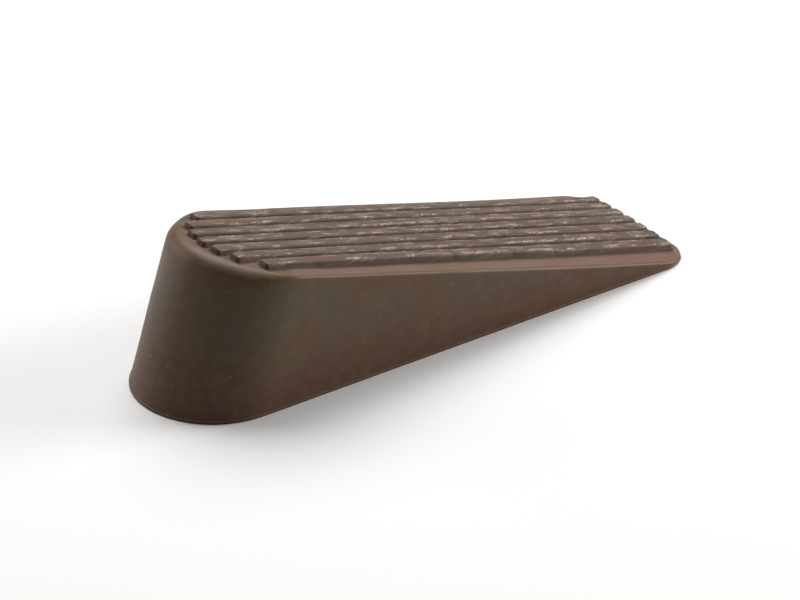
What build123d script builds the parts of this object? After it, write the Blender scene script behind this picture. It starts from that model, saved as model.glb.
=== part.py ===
from build123d import *
from math import atan2, cos, hypot, radians, sqrt, tan
import os

# A door wedge moulded in one piece of solid brown rubber.  It is thick and
# round at the heel and runs out to a thin square tip.  The sloping top carries
# seven ribs that run lengthwise and grip the underside of the door, and a thin
# flash line goes round the foot where the two halves of the mould met.
#
# Frame: origin at the centre of the sole, +X from the heel to the tip, +Y
# across the width, +Z up.  All lengths are millimetres and angles are degrees.

os.makedirs("parts", exist_ok=True)

# Body
LENGTH = 120.0
HEEL_WIDTH = 32.7
TIP_WIDTH = 35.9
HEEL_RISE = 33.8
TIP_RISE = 0.6
HEEL_DRAFT = 19.2
SIDE_DRAFT = 0.2
TIP_DRAFT = 6.0
HEEL_FLAT = 0.4
TIP_CORNER = 6.8
TIP_BOW = 0.1
TOP_ROUNDING = 0.4

# Ribs on the sloping top
RIB_COUNT = 7
RIB_PITCH = 3.8
RIB_CREST = 2.5
RIB_HEEL_HEIGHT = 1.6
RIB_TIP_HEIGHT = 1.4
RIB_FLANK_ANGLE = 14.0
RIB_EDGE_ROUNDING = 0.3
RIB_CORNER = 0.8
RIB_END_RADIUS = 13.5
RIB_HEEL_SETBACK = 13.8
RIB_TIP_SETBACK = 2.0

# Flash line of the mould, just above the sole
FLASH_PROUD = 0.25
FLASH_BOTTOM = 0.15
FLASH_THICKNESS = 0.3

# Places that follow from the sizes above
HEEL_X = -LENGTH / 2 + FLASH_PROUD
TIP_X = LENGTH / 2 - FLASH_PROUD
BODY_LENGTH = TIP_X - HEEL_X
SLOPE = atan2(HEEL_RISE - TIP_RISE, BODY_LENGTH)
SLOPE_LENGTH = hypot(BODY_LENGTH, HEEL_RISE - TIP_RISE)
CREST_DROP = HEEL_RISE + RIB_HEEL_HEIGHT - TIP_RISE - RIB_TIP_HEIGHT
RIB_FOOT = RIB_CREST + 2 * RIB_TIP_HEIGHT * tan(radians(RIB_FLANK_ANGLE))
RIB_START_X = RIB_HEEL_SETBACK / cos(SLOPE)
RIB_END_X = (BODY_LENGTH - RIB_TIP_SETBACK) / cos(SLOPE)


def inward(level, draft):
    """How far a wall leaning by draft has come in at a height above the sole."""
    return level * tan(radians(draft))


def outline_at(level):
    """The body's outline at a height above the sole: round heel, square tip."""
    heel_x = HEEL_X + inward(level, HEEL_DRAFT)
    tip_x = TIP_X - inward(level, TIP_DRAFT)
    heel_half = HEEL_WIDTH / 2 - FLASH_PROUD - inward(level, SIDE_DRAFT)
    tip_half = TIP_WIDTH / 2 - FLASH_PROUD - inward(level, SIDE_DRAFT)
    tip_side_x = tip_x - TIP_BOW
    with BuildSketch(Plane.XY.offset(level)) as outline:
        with BuildLine():
            Line((heel_x, heel_half), (heel_x, -heel_half))
            Line((heel_x, -heel_half), (tip_side_x, -tip_half))
            ThreePointArc((tip_side_x, -tip_half), (tip_x, 0), (tip_side_x, tip_half))
            Line((tip_side_x, tip_half), (heel_x, heel_half))
        make_face()
        fillet(outline.vertices().group_by(Axis.X)[0], radius=heel_half - HEEL_FLAT / 2)
        fillet(outline.vertices().group_by(Axis.X)[-1], radius=TIP_CORNER)
    return outline.sketch


# Planes of the smooth top and of the rib crests, both with X towards the tip
top_plane = Plane(
    origin=(HEEL_X, 0, HEEL_RISE),
    x_dir=(BODY_LENGTH, 0, TIP_RISE - HEEL_RISE),
    z_dir=(HEEL_RISE - TIP_RISE, 0, BODY_LENGTH),
)
crest_plane = Plane(
    origin=(HEEL_X, 0, HEEL_RISE + RIB_HEEL_HEIGHT),
    x_dir=(BODY_LENGTH, 0, -CREST_DROP),
    z_dir=(CREST_DROP, 0, BODY_LENGTH),
)

with BuildPart() as rubber_wedge:
    loft(sections=[outline_at(0), outline_at(HEEL_RISE)], ruled=True)
    split(bisect_by=top_plane, keep=Keep.BOTTOM)
    top_face = rubber_wedge.faces().filter_by(top_plane)[0]
    fillet(top_face.edges(), radius=TOP_ROUNDING)

    # Seven ribs with drafted flanks, cut level at the crests and rounded over
    # Their blunt heel ends step back along an arc, from the middle rib outward
    with BuildSketch(top_plane) as rib_feet:
        for rib in range(RIB_COUNT):
            across = (rib - (RIB_COUNT - 1) / 2) * RIB_PITCH
            start = RIB_START_X + RIB_END_RADIUS - sqrt(RIB_END_RADIUS**2 - across**2)
            with Locations(((start + RIB_END_X) / 2, across)):
                Rectangle(RIB_END_X - start, RIB_FOOT)
        fillet(rib_feet.vertices(), radius=RIB_CORNER)
    extrude(amount=RIB_HEEL_HEIGHT, taper=RIB_FLANK_ANGLE)
    split(bisect_by=crest_plane, keep=Keep.BOTTOM)
    crest_faces = rubber_wedge.faces().filter_by(crest_plane)
    fillet(crest_faces.edges(), radius=RIB_EDGE_ROUNDING)

    # Flash line left by the mould
    with BuildSketch(Plane.XY.offset(FLASH_BOTTOM)):
        add(outline_at(0))
        offset(amount=FLASH_PROUD)
    extrude(amount=FLASH_THICKNESS)

rubber_wedge.part.label = "rubber_wedge"
export_step(rubber_wedge.part, "parts/rubber_wedge.step")
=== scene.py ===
from math import atan, cos, radians, sin, tan

import bpy
import numpy as np
from mathutils import Matrix, Vector


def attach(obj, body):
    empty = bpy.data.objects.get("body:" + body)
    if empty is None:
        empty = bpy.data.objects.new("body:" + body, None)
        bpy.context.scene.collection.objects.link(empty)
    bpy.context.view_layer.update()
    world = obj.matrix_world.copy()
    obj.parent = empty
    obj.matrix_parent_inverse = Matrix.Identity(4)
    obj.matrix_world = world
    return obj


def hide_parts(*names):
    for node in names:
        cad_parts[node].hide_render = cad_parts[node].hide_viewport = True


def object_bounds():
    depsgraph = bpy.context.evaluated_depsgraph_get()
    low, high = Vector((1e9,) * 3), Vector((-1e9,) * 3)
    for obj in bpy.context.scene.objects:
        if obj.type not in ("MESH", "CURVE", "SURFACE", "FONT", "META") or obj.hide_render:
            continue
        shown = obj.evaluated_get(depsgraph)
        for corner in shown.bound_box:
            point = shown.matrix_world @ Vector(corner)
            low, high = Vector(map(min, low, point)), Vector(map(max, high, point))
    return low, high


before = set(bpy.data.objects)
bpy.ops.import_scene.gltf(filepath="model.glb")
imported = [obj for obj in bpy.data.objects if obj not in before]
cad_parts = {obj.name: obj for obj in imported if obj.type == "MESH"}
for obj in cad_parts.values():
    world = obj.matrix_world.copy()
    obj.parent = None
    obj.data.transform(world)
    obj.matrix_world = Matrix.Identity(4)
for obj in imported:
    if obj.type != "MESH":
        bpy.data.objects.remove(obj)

# The looks of a one-piece rubber door wedge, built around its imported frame.
# Shapes are worked out in millimetres in the frame's own axes (+X from heel to
# tip, +Z up, sole at zero) and become metres when a mesh is made.

cad_low, cad_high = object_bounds()
MM = 0.001
SEED = 570
rng = np.random.default_rng(SEED)

# ---------------------------------------------------------------- dimensions

HEEL_X = cad_low.x / MM
TIP_X = cad_high.x / MM
BODY_LENGTH = TIP_X - HEEL_X
HEEL_WIDTH = 32.5
TIP_WIDTH = 35.6
HEEL_RISE = 33.8
TIP_RISE = 0.6
HEEL_DRAFT = 18.6
TIP_DRAFT = 6.0
TIP_CORNER = 6.8
TIP_BOW = 0.05
TOP_FALL = (HEEL_RISE - TIP_RISE) / BODY_LENGTH

# Rounding of the top edge: generous over the heel, tight along the sides.  The last two
# are the outline places, as outline() counts them, between which it changes
HEEL_ROUNDING = 2.8
SIDE_ROUNDING = 0.75
TIP_ROUNDING = 0.2
HEEL_ROUNDING_FADE = (0.55, 1.0)
TIP_ROUNDING_RISE = (1.7, 2.6)

# Ribs, and how their heel ends drop
RIB_COUNT = 7
RIB_PITCH = 3.8
RIB_HALF_CREST = 1.25
RIB_HEEL_HEIGHT = 1.55
RIB_TIP_HEIGHT = 1.45
RIB_FLANK = tan(radians(14.0))
RIB_CORNER = 0.5
RIB_END_RADIUS = 13.5
RIB_START_X = HEEL_X + 13.8
RIB_END_X = TIP_X - 1.8
RIB_ZONE = RIB_COUNT / 2 * RIB_PITCH
LAST_RIB = (RIB_COUNT - 1) // 2
RIB_END_DROP = 0.15
RIB_END_RUN = 1.6

# How far the top sinks beside its ribs and at its margins, and where along the length
MARGIN_SINK = 0.25
OUTER_RIB_SINK = 0.63
SINK_START_X = -25.0
SINK_FULL_X = 45.0
SINK_FADE_X = 57.0
SINK_END_X = 60.0
MARGIN_SPAN = (RIB_ZONE - 0.3, HEEL_WIDTH / 2 + 1.5)

# How far the top swells to meet the ribs' heel ends, and the shares left at rim and wall
HEEL_SWELL = 0.42
RIM_SWELL = 0.6
WALL_SWELL = 0.5
HEEL_SWELL_LENGTH = 12.0
SWELL_RUN = (-1.0, 3.0)
SWELL_SIDE = (RIB_ZONE - 0.6, RIB_ZONE + 1.6)


# ------------------------------------------------------------- small helpers

def smoothstep(low, high, value):
    """0 below low, 1 above high and a smooth turn between."""
    part = np.clip((value - low) / (high - low), 0.0, 1.0)
    return part * part * (3.0 - 2.0 * part)


RIPPLE_PACES = (0.6, 1.6)
RIPPLE_GAIN = 1.6


class Ripple:
    """A smooth random field: a few seeded waves of about one wavelength, mostly in -1 to 1."""

    def __init__(self, wavelength, waves=7):
        turn = rng.uniform(0.0, 2.0 * np.pi, waves)
        lean = rng.uniform(-1.0, 1.0, waves)
        pace = 2.0 * np.pi / wavelength * rng.uniform(*RIPPLE_PACES, waves)
        flat = np.sqrt(1.0 - lean**2)
        self.ways = np.stack([flat * np.cos(turn), flat * np.sin(turn), lean], 1) * pace[:, None]
        self.phases = rng.uniform(0.0, 2.0 * np.pi, waves)

    def __call__(self, x, y=0.0, z=0.0):
        x, y, z = np.broadcast_arrays(x, y, z)
        place = np.stack([x, y, z], -1) @ self.ways.T + self.phases
        return np.sin(place).sum(-1) / len(self.phases) * RIPPLE_GAIN


# ------------------------------------------------------- outline of the body

def outline(t, level):
    """Half outline of the body at a height: x, y and outward normal for t from 0 to 4.

    0 to 1 is the round heel from its nose, 1 to 2 the straight side, 2 to 3 the
    tip corner and 3 to 4 the tip edge up to the middle plane.
    """
    heel_x = HEEL_X + level * tan(radians(HEEL_DRAFT))
    tip_x = TIP_X - level * tan(radians(TIP_DRAFT))
    heel_half = HEEL_WIDTH / 2
    flare = (TIP_WIDTH - HEEL_WIDTH) / 2 / BODY_LENGTH
    flare_angle = atan(flare)
    stretch = 1.0 / cos(flare_angle)

    heel_radius = heel_half / (stretch - flare)
    heel_centre = heel_x + heel_radius
    corner_x = tip_x - TIP_CORNER
    corner_y = heel_half + flare * (corner_x - heel_x) - TIP_CORNER * stretch

    heel_angle = np.pi - np.clip(t, 0, 1) * (np.pi / 2 - flare_angle)
    corner_angle = (np.pi / 2 + flare_angle) * (1.0 - np.clip(t - 2, 0, 1))
    along = np.clip(t - 1, 0, 1)
    across = 1.0 - np.clip(t - 3, 0, 1)

    arc_x = heel_centre + heel_radius * np.cos(heel_angle)
    arc_y = heel_radius * np.sin(heel_angle)
    side_start = (heel_centre - heel_radius * sin(flare_angle), heel_radius * cos(flare_angle))
    side_end = (corner_x - TIP_CORNER * sin(flare_angle), corner_y + TIP_CORNER * cos(flare_angle))
    side_x = side_start[0] + (side_end[0] - side_start[0]) * along
    side_y = side_start[1] + (side_end[1] - side_start[1]) * along
    turn_x = corner_x + TIP_CORNER * np.cos(corner_angle)
    turn_y = corner_y + TIP_CORNER * np.sin(corner_angle)

    pieces = [t < 1, t < 2, t < 3]
    x = np.select(pieces, [arc_x, side_x, turn_x], tip_x)
    y = np.select(pieces, [arc_y, side_y, turn_y], corner_y * across)
    side_angle = np.pi / 2 + flare_angle
    angle = np.select(pieces, [heel_angle, side_angle + 0.0 * t, corner_angle], 0.0)
    bowed = x - TIP_BOW * smoothstep(corner_x, tip_x, x) * (y / corner_y) ** 2
    return bowed, y, np.cos(angle), np.sin(angle)


def top_height(x):
    """Height of the smooth top, without its ribs."""
    return HEEL_RISE - TOP_FALL * (x - HEEL_X)


def crown(x, y):
    """How far the top has sunk below its plane: little at the middle, most beside the ribs."""
    along = smoothstep(SINK_START_X, SINK_FULL_X, x) * (1.0 - smoothstep(SINK_FADE_X, SINK_END_X, x))
    outer_ribs = OUTER_RIB_SINK * (np.minimum(np.abs(y), RIB_ZONE) / RIB_ZONE) ** 2
    margins = MARGIN_SINK * smoothstep(*MARGIN_SPAN, np.abs(y))
    return along * (outer_ribs + margins)


def rib_start(y):
    """Where the ribs begin at the heel, an arc across the width."""
    reach = np.minimum(np.abs(y), RIB_ZONE)
    return RIB_START_X + RIB_END_RADIUS - np.sqrt(RIB_END_RADIUS**2 - reach**2)


def swell(x, y):
    """How far the smooth top rises to meet the ribs where they begin, less at the rim."""
    beyond = x - rib_start(y)
    at_rim = RIM_SWELL + (1.0 - RIM_SWELL) * smoothstep(*SWELL_RUN, beyond)
    across = 1.0 - (1.0 - RIM_SWELL) * smoothstep(*SWELL_SIDE, np.abs(y))
    return HEEL_SWELL * np.minimum(at_rim, across) * (1.0 - smoothstep(0.0, HEEL_SWELL_LENGTH, beyond))


def rim(t):
    """The body's upper edge for outline places t, with its rounding worked out.

    Gives a dictionary of arrays: foot (on the sole), normal, sharp (where wall and
    top would meet), inner (where the rounding leaves the top), outer (where it
    meets the wall) and bend (half the angle between wall and top).
    """
    foot_x, foot_y, normal_x, normal_y = outline(t, 0.0)
    high_x, high_y, _, _ = outline(t, HEEL_RISE)
    lean = (high_x - foot_x) / HEEL_RISE
    height = top_height(foot_x) / (1.0 + TOP_FALL * lean)
    share = height / HEEL_RISE
    foot = np.stack([foot_x, foot_y, 0.0 * t], 1)
    high = np.stack([high_x, high_y, HEEL_RISE + 0.0 * t], 1)
    sharp = foot + (high - foot) * share[:, None]
    normal = np.stack([normal_x, normal_y, 0.0 * t], 1)

    down = foot - sharp
    down /= np.linalg.norm(down, axis=1, keepdims=True)
    inward = np.stack([-normal_x, -normal_y, TOP_FALL * normal_x], 1)
    inward /= np.linalg.norm(inward, axis=1, keepdims=True)

    heel_part = 1.0 - smoothstep(*HEEL_ROUNDING_FADE, t)
    tip_part = smoothstep(*TIP_ROUNDING_RISE, t)
    radius = SIDE_ROUNDING + (HEEL_ROUNDING - SIDE_ROUNDING) * heel_part
    radius = radius + (TIP_ROUNDING - radius) * tip_part
    bend = np.arccos(np.clip((down * inward).sum(1), -1, 1)) / 2
    reach = (radius / np.tan(bend))[:, None]
    inner = sharp + inward * reach
    outer = sharp + down * reach
    sink = crown(sharp[:, 0], sharp[:, 1])
    lift = swell(inner[:, 0], inner[:, 1])
    inner[:, 2] += lift - crown(inner[:, 0], inner[:, 1])
    outer[:, 2] += WALL_SWELL * lift - sink
    sharp[:, 2] += lift - sink
    return {
        "foot": foot,
        "normal": normal,
        "sharp": sharp,
        "inner": inner,
        "outer": outer,
        "bend": bend,
    }


def rounding(edge, share):
    """Points of the top edge's rounding: share 0 is on the top and 1 on the wall."""
    weight = np.sin(edge["bend"])[:, None]
    first = (1 - share) ** 2
    middle = 2 * share * (1 - share) * weight
    last = share**2
    total = first + middle + last
    return (first * edge["inner"] + middle * edge["sharp"] + last * edge["outer"]) / total


# ----------------------------------------------------- the ribs and the crown

ROUND_RADIUS = 0.3
FLANK_ANGLE = atan(RIB_FLANK)
ROUND_REACH = ROUND_RADIUS * tan((np.pi / 2 - FLANK_ANGLE) / 2)
ROUND_END = ROUND_REACH * sin(FLANK_ANGLE)
ROUND_SPAN = ROUND_RADIUS * cos(FLANK_ANGLE)

EDGE_WAVE = 0.05
EDGE_FRET = 0.03
CREST_WAVE = 0.012
edge_wave = Ripple(14.0)
edge_fret = Ripple(2.6)
crest_wave = Ripple(22.0)
CHIP_COUNT = 90
CHIP_LENGTHS = (0.5, 1.6)
CHIP_DEPTHS = (0.04, 0.16)
chip_x = rng.uniform(RIB_START_X, RIB_END_X, CHIP_COUNT)
chip_rib = rng.integers(0, RIB_COUNT, CHIP_COUNT)
chip_side = rng.choice([-1.0, 1.0], CHIP_COUNT)
chip_length = rng.uniform(*CHIP_LENGTHS, CHIP_COUNT)
chip_depth = rng.uniform(*CHIP_DEPTHS, CHIP_COUNT)

# Masks for wear, for painted shade in the hollows and on the rib ends, and for painted shade on the top's
# heel rim: distances from the crest's edge in millimetres, and shares
WEAR_INSET = 0.35
WEAR_SPREAD = 0.4
CREST_WEAR = 0.25
FAR_EDGE_WEAR = 0.45
HOLLOW_SPREAD = 0.25
END_FACE = (-0.3, 0.5)
END_FACE_DEPTH = 0.45
HEEL_PAINTED_SHADE = 0.75
HEEL_SHADE_SPAN = (-2.5, 0.5)


def rib_section(outside, height):
    """Height of a rib at a distance outside its crest's edge: round edge, steep flank, round root."""
    foot = height * RIB_FLANK
    over = np.clip(outside + ROUND_REACH, 0.0, ROUND_SPAN)
    crest = height - ROUND_RADIUS + np.sqrt(ROUND_RADIUS**2 - over**2)
    flank = height - outside / RIB_FLANK
    under = np.clip(foot + ROUND_REACH - outside, 0.0, ROUND_SPAN)
    root = ROUND_RADIUS - np.sqrt(ROUND_RADIUS**2 - under**2)
    return np.select([outside < ROUND_END, outside < foot - ROUND_END], [crest, flank], root)


def rib_rise(x, y):
    """How far the ribs stand above the smooth top, and the distance outside the nearest crest's edge."""
    rib = np.clip(np.round(y / RIB_PITCH), -LAST_RIB, LAST_RIB)
    centre = rib * RIB_PITCH
    side = np.where(y < centre, -1.0, 1.0)
    half = RIB_HALF_CREST + EDGE_WAVE * edge_wave(x, centre + side)
    half = half + EDGE_FRET * edge_fret(x, centre + side)
    chips = zip(chip_x, chip_rib, chip_side, chip_length, chip_depth)
    for place, number, facing, length, depth in chips:
        near = (rib == number - LAST_RIB) & (side == facing)
        half = half - near * depth * np.exp(-(((x - place) / length) ** 2))
    across = np.abs(y - centre) - half
    ends = np.maximum(rib_start(centre) - x, x - RIB_END_X)
    reach_x, reach_y = ends + RIB_CORNER, across + RIB_CORNER
    beyond = np.hypot(np.maximum(reach_x, 0.0), np.maximum(reach_y, 0.0))
    outside = beyond + np.minimum(np.maximum(reach_x, reach_y), 0.0) - RIB_CORNER
    height = RIB_HEEL_HEIGHT + (RIB_TIP_HEIGHT - RIB_HEEL_HEIGHT) * (x - HEEL_X) / BODY_LENGTH
    height = height + CREST_WAVE * crest_wave(x, centre)
    height = height - RIB_END_DROP * (1.0 - smoothstep(0.0, RIB_END_RUN, x - rib_start(centre)))
    return rib_section(outside, height), outside


def rib_masks(x, y, outside):
    """Wear along the crest edges, most on the -Y side, and painted shade in the hollows and on the rib
    ends, 0 to 1.
    """
    centre = np.clip(np.round(y / RIB_PITCH), -LAST_RIB, LAST_RIB) * RIB_PITCH
    facing = np.where(y < centre, 1.0, FAR_EDGE_WEAR)
    worn = facing * np.exp(-(((outside + WEAR_INSET) / WEAR_SPREAD) ** 2)) + CREST_WEAR * (outside < 0.0)
    hollow_shade = np.exp(-(((outside - RIB_TIP_HEIGHT * RIB_FLANK) / HOLLOW_SPREAD) ** 2))
    # The rib end faces, darkened as painted shade
    on_end = (outside > END_FACE[0]) * (outside < END_FACE[1])
    end_shade = (1.0 - smoothstep(0.0, END_FACE_DEPTH, x - rib_start(centre))) * on_end
    worn = worn * (1.0 - end_shade)
    return np.clip(worn, 0.0, 1.0), np.maximum(hollow_shade, end_shade)


# ----------------------------------------------- the grid that the top follows

RIB_STEPS = (0.0, 0.5, 0.9, 1.02, 1.12, 1.2, 1.26, 1.31, 1.45, 1.59, 1.67, 1.78)
MARGIN_LINES = 8
CORNER_PLACE = 2.35
STATIONS = 240
SKIP = 4
OUTLINE_SAMPLES = 8001

# Crosswise lines: their span, their spacings, and how far the fine and the coarse
# spacing reach from each end, with a gradual change between
CROSS_SPAN = BODY_LENGTH - 13.5
FINE_SPACING = 0.22
COARSE_SPACING = 0.55
FINE_FROM_HEEL = 6.0
COARSE_FROM_HEEL = 8.0
COARSE_FROM_TIP = 6.0
FINE_FROM_TIP = 4.5
SPACING_SAMPLES = 4000


def across_lines():
    """Places across the ribs where lengthwise mesh lines run, closer at the rib edges."""
    lines = {round(-RIB_ZONE, 4)}
    for rib in range(RIB_COUNT):
        centre = (rib - (RIB_COUNT - 1) / 2) * RIB_PITCH
        lines.update(round(centre + step, 4) for step in RIB_STEPS)
        lines.update(round(centre - step, 4) for step in RIB_STEPS)
        lines.add(round(centre + RIB_PITCH / 2, 4))
    return np.array(sorted(lines))


def along_shares():
    """Shares of the length where crosswise mesh lines run, closer at the rib ends."""
    spacing = np.array([FINE_SPACING] * 2 + [COARSE_SPACING] * 2 + [FINE_SPACING] * 2)
    near_heel = [0.0, FINE_FROM_HEEL, COARSE_FROM_HEEL]
    near_tip = [CROSS_SPAN - COARSE_FROM_TIP, CROSS_SPAN - FINE_FROM_TIP, CROSS_SPAN]
    places = np.array(near_heel + near_tip)
    fine = np.linspace(0.0, CROSS_SPAN, SPACING_SAMPLES)
    density = 1.0 / np.interp(fine, places, spacing)
    total = np.concatenate([[0.0], np.cumsum((density[1:] + density[:-1]) / 2)])
    return np.interp(np.linspace(0.0, total[-1], STATIONS + 1), total, fine) / CROSS_SPAN


lines_y = across_lines()
shares = along_shares()
dense = np.linspace(0.0, 4.0, OUTLINE_SAMPLES)
dense_inner = rim(dense)["inner"]
on_heel = dense <= 1.0
on_side = (dense >= 1.0) & (dense <= CORNER_PLACE)
on_tip = dense >= CORNER_PLACE


def place_by_y(y, part):
    """Outline places on the heel or the tip where the top's inner edge has a given y."""
    order = np.argsort(dense_inner[part, 1])
    return np.interp(np.abs(y), dense_inner[part, 1][order], dense[part][order])


steps = np.linspace(0.0, 1.0, MARGIN_LINES + 1)[1:]
heel_edge = place_by_y(RIB_ZONE, on_heel)
tip_edge = place_by_y(RIB_ZONE, on_tip)
heel_margin = heel_edge + (1.0 - heel_edge) * steps
tip_margin = tip_edge + (CORNER_PLACE - tip_edge) * steps
heel_places = np.concatenate([heel_margin[::-1], place_by_y(lines_y, on_heel), heel_margin])
tip_places = np.concatenate([tip_margin[::-1], place_by_y(lines_y, on_tip), tip_margin])
line_sides = np.concatenate(
    [-np.ones(MARGIN_LINES), np.where(lines_y < 0, -1.0, 1.0), np.ones(MARGIN_LINES)]
)
side_x = dense_inner[on_side, 0]
side_places = np.interp(side_x[0] + (side_x[-1] - side_x[0]) * shares, side_x, dense[on_side])

LINES = len(heel_places)
ring_places = np.concatenate(
    [heel_places, side_places[1:-1], tip_places[::-1], side_places[1:-1][::-1]]
)
ring_signs = np.concatenate(
    [line_sides, np.ones(STATIONS - 1), line_sides[::-1], -np.ones(STATIONS - 1)]
)
RING = len(ring_places)


def fill_patch(ring, along_index, across_index):
    """Spread a closed ring of points inward over the patch that it bounds."""
    heel = ring[:LINES][across_index]
    high = ring[LINES - 1 : LINES + STATIONS][along_index]
    tip = ring[LINES + STATIONS - 1 : 2 * LINES + STATIONS - 1][::-1][across_index]
    low = np.concatenate([ring[2 * LINES + STATIONS - 2 :], ring[:1]])[::-1][along_index]
    share = shares[along_index][:, None, None]
    patch = heel[None] * (1.0 - share) + tip[None] * share

    # Each margin is shifted to meet the ring's side, less and less towards the ribs
    for side, first in ((low, True), (high, False)):
        strip = np.flatnonzero(across_index <= MARGIN_LINES)
        if not first:
            strip = np.flatnonzero(across_index >= LINES - 1 - MARGIN_LINES)[::-1]
        part = 1.0 - np.arange(len(strip)) / (len(strip) - 1)
        shift = side - patch[:, strip[0]]
        patch[:, strip] = patch[:, strip] + shift[:, None, :] * part[None, :, None]
    return patch


# ------------------------------------------------------------ wall and flash

ROUNDING_ROWS = 6
WALL_ROWS = 16
PARTING_HEIGHT = 0.5
PARTING_AT_TIP = 0.16
LIP_AT_TIP = 0.5
PARTING_WAVE = 0.04
PARTING_FADE = (1.5, 3.0)
LIP_NARROWING = (1.75, 2.5)
LIP_CLEARANCE = 0.18
WALL_WAVE = 0.05
WALL_DIMPLE_SHARE = 0.3
WALL_WAVE_RISE = (0.0, 0.25)
WALL_WAVE_FADE = (0.8, 1.0)
FLASH_PROUD = 0.25
FLASH_MEAN = 0.13
FLASH_WAVE = 0.05
FLASH_FRET = 0.035
NICK_DEPTH = 0.95
SOLE_ROUNDING = 0.1
SOLE_INSET = 0.5

# Rows below the lip: share of the height left and share of the sole's rounding
SOLE_ROWS = ((0.5, 0.0), (0.15, -0.2), (0.0, -1.0))

# Height about the parting line and share of the flash's width, from above it to below
LIP_SECTION = (
    (0.14, 0.1),
    (0.1, 0.5),
    (0.07, 0.9),
    (0.02, 1.0),
    (-0.04, 1.0),
    (-0.08, 0.85),
    (-0.1, 0.4),
    (-0.13, 0.1),
)

wall_wave = Ripple(17.0)
wall_dimple = Ripple(5.0)
flash_wave = Ripple(9.0)
flash_fret = Ripple(1.7)
parting_wave = Ripple(13.0)

# Nicks in the flash, as outline places with the sign of their side: two chosen ones on
# the -Y side, then random ones all round
CHOSEN_NICKS = (-1.62, -1.405)
CHOSEN_WIDTHS = (0.012, 0.008)
NICK_COUNT = 16
NICK_REACH = 3.8
NICK_WIDTHS = (0.002, 0.012)
nick_places = np.append(CHOSEN_NICKS, rng.uniform(-NICK_REACH, NICK_REACH, NICK_COUNT))
nick_widths = np.append(CHOSEN_WIDTHS, rng.uniform(*NICK_WIDTHS, NICK_COUNT))


def flash_width(places, signs, x, y):
    """How far the mould flash stands out, ragged and missing at a few nicks."""
    width = FLASH_MEAN + FLASH_WAVE * flash_wave(x, y) + FLASH_FRET * flash_fret(x, y)
    signed = places * signs
    for place, size in zip(nick_places, nick_widths):
        width = width * (1.0 - NICK_DEPTH * np.exp(-(((signed - place) / size) ** 2)))
    return np.clip(width, 0.0, FLASH_PROUD)


def ring_rows(edge):
    """Every ring of points from the top's inner edge, down the wall, to the sole."""
    x, y = edge["foot"][:, 0], edge["foot"][:, 1]
    wide = flash_width(ring_places, ring_signs, x, y)
    narrowing = smoothstep(*LIP_NARROWING, ring_places)
    parting = PARTING_HEIGHT + (PARTING_AT_TIP - PARTING_HEIGHT) * narrowing
    parting = parting + PARTING_WAVE * parting_wave(x, y) * (1.0 - smoothstep(*PARTING_FADE, ring_places))
    lip_size = 1.0 - (1.0 - LIP_AT_TIP) * narrowing
    top_level = edge["sharp"][:, 2]

    def on_wall(level, offset):
        share = (level / top_level)[:, None]
        line = edge["foot"] + (edge["sharp"] - edge["foot"]) * share
        return line + edge["normal"] * np.broadcast_to(offset, level.shape)[:, None]

    rows = [rounding(edge, step / ROUNDING_ROWS) for step in range(ROUNDING_ROWS + 1)]
    start = edge["outer"][:, 2]
    stop = parting + LIP_CLEARANCE * lip_size
    for step in range(1, WALL_ROWS + 1):
        level = start + (stop - start) * step / WALL_ROWS
        row = on_wall(level, 0.0)
        share = step / WALL_ROWS
        bulge = WALL_WAVE * wall_wave(*row.T) + WALL_DIMPLE_SHARE * WALL_WAVE * wall_dimple(*row.T)
        bulge = bulge * smoothstep(*WALL_WAVE_RISE, share) * (1.0 - smoothstep(*WALL_WAVE_FADE, share))
        rows.append(row + edge["normal"] * bulge[:, None])
    for rise, share in LIP_SECTION:
        rows.append(on_wall(parting + rise * lip_size, wide * share))
    below = parting + LIP_SECTION[-1][0] * lip_size
    for height, inset in SOLE_ROWS:
        rows.append(on_wall(height * below, inset * SOLE_ROUNDING))
    return rows


def quads(grid):
    """Faces over a grid of vertex numbers, wound from row to row and then along the rows."""
    return np.stack([grid[:-1, :-1], grid[1:, :-1], grid[1:, 1:], grid[:-1, 1:]], -1).reshape(-1, 4)


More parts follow.
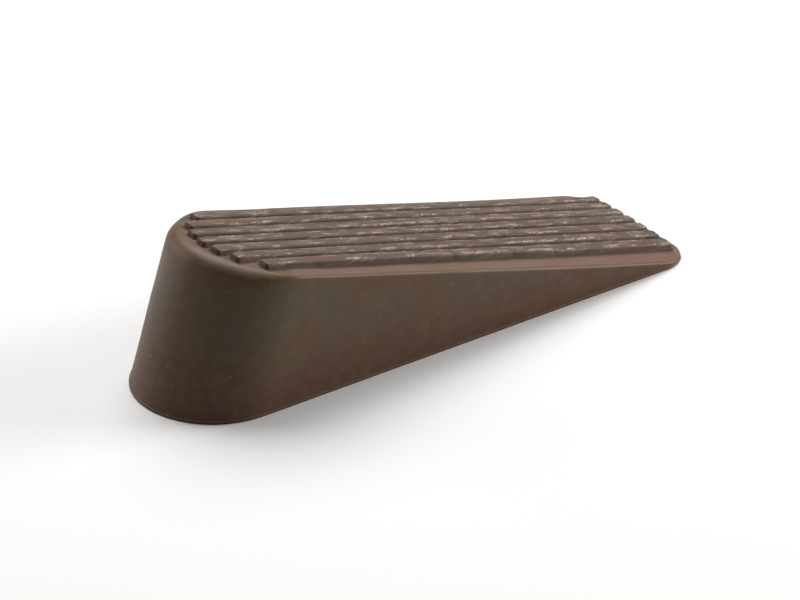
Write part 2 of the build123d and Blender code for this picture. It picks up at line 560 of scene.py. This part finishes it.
def build_wedge():
    """The whole moulding as one closed mesh, with its worn, painted hollow shade, tread (top bloom and
    painted light) and lip masks.
    """
    edge = rim(ring_places)
    for name in ("foot", "normal", "sharp", "inner", "outer"):
        edge[name][:, 1] *= ring_signs
    rows = ring_rows(edge)

    every_station = np.arange(STATIONS + 1)
    every_line = np.arange(LINES)
    top = fill_patch(rows[0], every_station, every_line)
    x, y = top[..., 0], top[..., 1]
    rise, outside = rib_rise(x, y)
    top[..., 2] = top_height(x) - crown(x, y) + np.maximum(rise, swell(x, y))
    worn, hollow_shade = rib_masks(x, y, outside)
    # Share of the top's bloom and painted light, cut back behind the rib starts to paint shade on the
    # heel rim
    top_bloom_and_light = 1.0 - HEEL_PAINTED_SHADE * (1.0 - smoothstep(*HEEL_SHADE_SPAN, x - rib_start(y)))

    # Vertex numbers: the top's grid first, then each ring below its border.  The rings run
    # clockwise seen from above, so their faces are turned over to look outward
    grid = np.arange((STATIONS + 1) * LINES).reshape(STATIONS + 1, LINES)
    border = np.concatenate([grid[0], grid[1:-1, -1], grid[-1, ::-1], grid[1:-1, 0][::-1]])
    points = [top.reshape(-1, 3)]
    rings = [border]
    count = grid.size
    for row in rows[1:]:
        rings.append(np.arange(count, count + RING))
        points.append(row)
        count += RING
    rings = np.array(rings)
    looped = np.concatenate([rings, rings[:, :1]], 1)
    faces = quads(grid).tolist() + quads(looped)[:, ::-1].tolist()

    # The sole: a coarser grid inside its ring, stitched on with one face per coarse edge
    sole_stations = np.arange(0, STATIONS + 1, SKIP)
    sole_lines = np.arange(0, LINES, SKIP)
    inset = rows[-1] - edge["normal"] * SOLE_INSET
    sole = fill_patch(inset, sole_stations, sole_lines)
    sole_grid = np.arange(count, count + sole[..., 0].size).reshape(sole.shape[:2])
    points.append(sole.reshape(-1, 3))
    faces += quads(sole_grid)[:, ::-1].tolist()
    sole_border = np.concatenate(
        [sole_grid[0], sole_grid[1:-1, -1], sole_grid[-1, ::-1], sole_grid[1:-1, 0][::-1]]
    )
    coarse = len(sole_border)
    outer = np.append(rings[-1], rings[-1][0])
    for step in range(coarse):
        stretch = outer[step * SKIP : (step + 1) * SKIP + 1].tolist()
        faces.append(stretch + [int(sole_border[(step + 1) % coarse]), int(sole_border[step])])

    mesh = bpy.data.meshes.new("rubber_wedge_skin")
    points = np.concatenate(points)
    mesh.from_pydata((points * MM).tolist(), [], faces)
    mesh.update()
    mesh.shade_smooth()

    tread, lip = np.zeros(len(points)), np.zeros(len(points))
    # Tread: the top's bloom and painted light, fading down the top edge's rounding
    tread[: grid.size] = top_bloom_and_light.ravel()
    for step in range(1, ROUNDING_ROWS + 1):
        tread[rings[step]] = top_bloom_and_light.ravel()[border] * (1.0 - step / ROUNDING_ROWS) ** 2
    for step, (_, share) in enumerate(LIP_SECTION):
        lip[rings[ROUNDING_ROWS + WALL_ROWS + 1 + step]] = share
    for name, mask in (("worn", worn), ("hollow_shade", hollow_shade), ("tread", tread), ("lip", lip)):
        values = np.zeros(len(points), np.float32)
        values[: mask.size] = mask.ravel()
        mesh.attributes.new(name, "FLOAT", "POINT").data.foreach_set("value", values)
    return mesh


wedge = bpy.data.objects.new("wedge_body", build_wedge())
bpy.context.scene.collection.objects.link(wedge)
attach(wedge, "root")
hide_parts("rubber_wedge")


# ------------------------------------------------------------------ materials

class NodeKit:
    """Short ways to add and join the nodes of one material."""

    def __init__(self, name):
        self.material = bpy.data.materials.new(name)
        self.material.use_nodes = True
        self.tree = self.material.node_tree
        self.shader = self.tree.nodes["Principled BSDF"]

    def feed(self, socket, value):
        """Set a socket to a number or colour, or link another node's output to it."""
        if isinstance(value, bpy.types.NodeSocket):
            self.tree.links.new(value, socket)
        else:
            socket.default_value = value

    def add(self, kind, inputs, **settings):
        """Add a node with its settings and inputs, the inputs by name or number."""
        node = self.tree.nodes.new(kind)
        for name, value in settings.items():
            setattr(node, name, value)
        for name, value in inputs.items():
            self.feed(node.inputs[name], value)
        return node

    def calculate(self, operation, first, second=0.0):
        """A sum, product or other operation on two values."""
        return self.add("ShaderNodeMath", {0: first, 1: second}, operation=operation).outputs[0]

    def step(self, low, high, value):
        """A smooth turn from 0 at low to 1 at high."""
        inputs = {"Value": value, "From Min": low, "From Max": high}
        return self.add("ShaderNodeMapRange", inputs, interpolation_type="SMOOTHSTEP").outputs[0]

    def blend(self, share, first, second):
        """A mix of two colours."""
        return self.add("ShaderNodeMix", {0: share, 6: first, 7: second}, data_type="RGBA").outputs[2]

    def stretched(self, place, scale, angles=(0, 0, 0)):
        """The place turned by angles in degrees and scaled along each axis."""
        turn = tuple(radians(angle) for angle in angles)
        turned = self.add("ShaderNodeMapping", {"Vector": place, "Rotation": turn}).outputs[0]
        return self.add("ShaderNodeMapping", {"Vector": turned, "Scale": scale}).outputs[0]

    def noise(self, place, scale, detail=3.0, roughness=0.5):
        """Cloudy noise, around 0.5."""
        inputs = {"Vector": place, "Scale": scale, "Detail": detail, "Roughness": roughness}
        return self.add("ShaderNodeTexNoise", inputs).outputs[0]

    def attribute(self, name):
        """One of the masks stored on the mesh."""
        return self.add("ShaderNodeAttribute", {}, attribute_name=name).outputs["Fac"]


# Colours of the rubber
WARM_BROWN = (0.082, 0.045, 0.022, 1)
OLIVE_BROWN = (0.07, 0.052, 0.029, 1)
RED_BROWN = (0.08, 0.037, 0.02, 1)
DUSTY_BROWN = (0.11, 0.078, 0.05, 1)
PINK_BLOOM_AND_LIGHT = (0.135, 0.084, 0.067, 1)
CREST_BROWN = (0.068, 0.047, 0.033, 1)
PAINTED_SHADE_BROWN = (0.026, 0.018, 0.012, 1)
SCUFF_WHITE = (0.4, 0.32, 0.27, 1)
SCRATCH_TAN = (0.24, 0.18, 0.13, 1)
FLASH_BROWN = (0.12, 0.085, 0.058, 1)

# Noise scales, in features per metre: one number, or one along each axis
PATCH_SCALE = 58.0
CLOUD_SCALE = 130.0
MOTTLE_SCALE = 420.0
GRAIN_SCALE = 2600.0
GLOSS_SCALE = 90.0
RUBBED_SCALE = 38.0
SPECK_SCALE = 330.0
RUN_SCALE = (60, 900, 900)
FLECK_SCALE = (240, 5200, 5200)
SHALLOW_SCRATCH_SCALE = (230, 230, 3000)
STEEP_SCRATCH_SCALE = (160, 160, 2600)

# Turns of the two sets of scratches, in degrees
SHALLOW_SCRATCH_TURN = (0, 24, 0)
STEEP_SCRATCH_TURN = (0, -62, 20)

# Shares of one colour over another
MOTTLE_SHARE = 0.3
CREST_SHARE = 0.8
PAINTED_SHADE_SHARE = 0.6
MARK_SHARE = 0.4
FLASH_SHARE = 0.7

# Finish
RED_BELOW = 0.018
GLOSS_ROUGHNESS = 0.34
GLOSS_RANGE = 0.24
DULLING = 0.4
RUBBER_SPECULAR = 0.25
MARK_HEIGHT = 1.2
BUMP_STRENGTH = 0.4
BUMP_DISTANCE = 0.00006


def brown_rubber():
    """Moulded brown rubber: mottled, with painted shade in its hollows and on its rib ends, a pinkish
    bloom and painted light on its top, scuffed white along its ribs.
    """
    kit = NodeKit("brown_rubber_look")
    place = kit.add("ShaderNodeTexCoord", {}).outputs["Object"]
    axes = kit.add("ShaderNodeSeparateXYZ", {"Vector": place}).outputs
    worn = kit.attribute("worn")
    hollow_shade = kit.attribute("hollow_shade")
    tread = kit.attribute("tread")
    lip = kit.attribute("lip")

    # Colour of the body: patches of warm and olive brown, redder towards the sole
    patches = kit.step(0.42, 0.58, kit.noise(place, PATCH_SCALE, 4.0))
    body = kit.blend(patches, WARM_BROWN, OLIVE_BROWN)
    clouds = kit.noise(place, CLOUD_SCALE, 5.0, 0.6)
    nearness = kit.step(RED_BELOW, 0.0, axes["Z"])
    low = kit.calculate("ADD", nearness, kit.calculate("MULTIPLY", clouds, 1.2))
    body = kit.blend(kit.step(0.6, 1.5, low), body, RED_BROWN)
    mottle = kit.step(0.35, 0.7, kit.noise(place, MOTTLE_SCALE, 4.0, 0.65))
    body = kit.blend(kit.calculate("MULTIPLY", mottle, MOTTLE_SHARE), body, DUSTY_BROWN)

    # A pinkish bloom and painted light on the top, most on its margins because the crests are darker; cut
    # back behind the rib starts, which paints shade on the heel rim
    bloom_and_light = kit.calculate("MULTIPLY", tread, kit.calculate("ADD", clouds, 0.3))
    body = kit.blend(bloom_and_light, body, PINK_BLOOM_AND_LIGHT)
    crest = kit.calculate("MULTIPLY", kit.step(0.08, 0.24, worn), CREST_SHARE)
    body = kit.blend(crest, body, CREST_BROWN)

    # Painted shade in the hollows and on the rib ends, broken white scuffs along the crest edges
    body = kit.blend(kit.calculate("MULTIPLY", hollow_shade, PAINTED_SHADE_SHARE), body, PAINTED_SHADE_BROWN)
    runs = kit.noise(kit.stretched(place, RUN_SCALE), 1.0, 2.0)
    flecks = kit.noise(kit.stretched(place, FLECK_SCALE), 1.0, 3.0, 0.65)
    streaks = kit.calculate("MULTIPLY", kit.step(0.48, 0.6, runs), kit.step(0.45, 0.6, flecks))
    scuff = kit.calculate("MULTIPLY", worn, streaks)
    body = kit.blend(scuff, body, SCUFF_WHITE)

    # A few fine scratches in two directions, gathered in patches, and some pale specks
    rubbed = kit.step(0.5, 0.7, kit.noise(place, RUBBED_SCALE, 2.0))
    shallow = kit.stretched(place, SHALLOW_SCRATCH_SCALE, SHALLOW_SCRATCH_TURN)
    shallow_lines = kit.step(0.62, 0.74, kit.noise(shallow, 1.0, 3.0))
    steep = kit.stretched(place, STEEP_SCRATCH_SCALE, STEEP_SCRATCH_TURN)
    steep_lines = kit.step(0.66, 0.78, kit.noise(steep, 1.0, 3.0))
    lines = kit.calculate("MAXIMUM", shallow_lines, steep_lines)
    scratch = kit.calculate("MULTIPLY", lines, rubbed)
    grit = kit.add("ShaderNodeTexVoronoi", {"Vector": place, "Scale": SPECK_SCALE}).outputs["Distance"]
    speck = kit.calculate("MULTIPLY", kit.step(0.1, 0.05, grit), kit.step(0.5, 0.6, clouds))
    mark = kit.calculate("MAXIMUM", scratch, speck)
    body = kit.blend(kit.calculate("MULTIPLY", mark, MARK_SHARE), body, SCRATCH_TAN)
    body = kit.blend(kit.calculate("MULTIPLY", lip, FLASH_SHARE), body, FLASH_BROWN)
    kit.feed(kit.shader.inputs["Base Color"], body)

    # Finish: half gloss, duller in the hollows and where scuffed, with a fine moulded grain
    gloss = kit.calculate("MULTIPLY_ADD", kit.noise(place, GLOSS_SCALE, 4.0), GLOSS_RANGE)
    gloss.node.inputs[2].default_value = GLOSS_ROUGHNESS
    rough = kit.calculate("MAXIMUM", hollow_shade, kit.calculate("MAXIMUM", scuff, scratch))
    dull = kit.calculate("ADD", gloss, kit.calculate("MULTIPLY", rough, DULLING))
    kit.feed(kit.shader.inputs["Roughness"], dull)
    kit.shader.inputs["Specular IOR Level"].default_value = RUBBER_SPECULAR

    grain = kit.noise(place, GRAIN_SCALE, 3.0, 0.6)
    scored = kit.calculate("MULTIPLY", kit.calculate("ADD", scuff, mark), MARK_HEIGHT)
    height = kit.calculate("ADD", grain, scored)
    inputs = {"Height": height, "Strength": BUMP_STRENGTH, "Distance": BUMP_DISTANCE}
    bump = kit.add("ShaderNodeBump", inputs)
    kit.feed(kit.shader.inputs["Normal"], bump.outputs[0])
    return kit.material


FLOOR_SHADES = (0.66, 0.68, 0.7, 1), (0.69, 0.71, 0.73, 1)
FLOOR_ROUGHNESS = 0.9
FLOOR_SPECULAR = 0.1
FLOOR_SCALE = 3.0


def pale_floor():
    """A matt pale floor with a faint variation."""
    kit = NodeKit("pale_floor_look")
    place = kit.add("ShaderNodeTexCoord", {}).outputs["Object"]
    shade = kit.blend(kit.noise(place, FLOOR_SCALE), *FLOOR_SHADES)
    kit.feed(kit.shader.inputs["Base Color"], shade)
    kit.shader.inputs["Roughness"].default_value = FLOOR_ROUGHNESS
    kit.shader.inputs["Specular IOR Level"].default_value = FLOOR_SPECULAR
    return kit.material


wedge.data.materials.append(brown_rubber())


# -------------------------------------------------------------------- stage

AIM_HEIGHT = 10.5
IMAGE_WIDTH = 800.0
SENSOR_WIDTH = 36.0


def camera_at(azimuth, elevation, roll, distance, shift, pixels):
    """The camera: angles in degrees, distance and shift of its aim in mm, focal length in pixels."""
    a, e, r = radians(azimuth), radians(elevation), radians(roll)
    back = Vector((sin(a) * cos(e), -cos(a) * cos(e), sin(e)))
    level = Vector((0, 0, 1)).cross(back).normalized()
    upward = back.cross(level)
    right = level * cos(r) + upward * sin(r)
    up = upward * cos(r) - level * sin(r)
    target = Vector((0, 0, AIM_HEIGHT)) + right * shift[0] + up * shift[1]
    data = bpy.data.cameras.new("view")
    data.sensor_width = SENSOR_WIDTH
    data.lens = pixels / IMAGE_WIDTH * SENSOR_WIDTH
    data.clip_start, data.clip_end = 0.01, 20.0
    camera = bpy.data.objects.new("view", data)
    camera.matrix_world = Matrix((right, up, back)).transposed().to_4x4()
    camera.location = (target + back * distance) * MM
    bpy.context.scene.collection.objects.link(camera)
    bpy.context.scene.camera = camera


camera_at(
    azimuth=-36.5,
    elevation=29.24,
    roll=-0.16,
    distance=927.5,
    shift=(0.14, -6.56),
    pixels=4783.0,
)

WARM_WHITE = (1.0, 0.965, 0.925)
MID_BODY = (0, 0, 0.02)
LOW_BODY = (0, 0, 0.01)
LARGE_SQUARE = (0.9, 0.9)
LARGE_WIDE = (0.9, 0.7)
SMALL_SQUARE = (0.5, 0.5)
WORLD_STRENGTH = 0.015
FLOOR_REACH = 3


def softbox(name, place, aim, size, watts):
    """A warm white rectangular light at a place in metres, facing a point."""
    data = bpy.data.lights.new(name, "AREA")
    data.shape = "RECTANGLE"
    data.size, data.size_y = size
    data.energy = watts
    data.color = WARM_WHITE
    lamp = bpy.data.objects.new(name, data)
    lamp.location = place
    facing = Vector(aim) - Vector(place)
    lamp.rotation_mode = "QUATERNION"
    lamp.rotation_quaternion = facing.to_track_quat("-Z", "Y")
    bpy.context.scene.collection.objects.link(lamp)


softbox("top_softbox", (0.0, 0.0, 0.9), MID_BODY, LARGE_SQUARE, watts=2.8)
softbox("back_softbox", (0.2, 0.45, 0.75), MID_BODY, LARGE_WIDE, watts=11.0)
softbox("left_softbox", (-0.5, 0.8, 0.3), MID_BODY, SMALL_SQUARE, watts=3.0)
softbox("right_softbox", (0.9, -0.4, 0.3), LOW_BODY, SMALL_SQUARE, watts=12.5)

world = bpy.data.worlds.new("studio")
world.use_nodes = True
backdrop = world.node_tree.nodes["Background"]
backdrop.inputs["Color"].default_value = (1, 1, 1, 1)
backdrop.inputs["Strength"].default_value = WORLD_STRENGTH
bpy.context.scene.world = world
bpy.context.scene.view_settings.view_transform = "Standard"

floor_mesh = bpy.data.meshes.new("floor")
ways = [(-1, -1), (1, -1), (1, 1), (-1, 1)]
corners = [(FLOOR_REACH * x, FLOOR_REACH * y, 0) for x, y in ways]
floor_mesh.from_pydata(corners, [], [(0, 1, 2, 3)])
floor = bpy.data.objects.new("floor", floor_mesh)
bpy.context.scene.collection.objects.link(floor)
floor_mesh.materials.append(pale_floor())
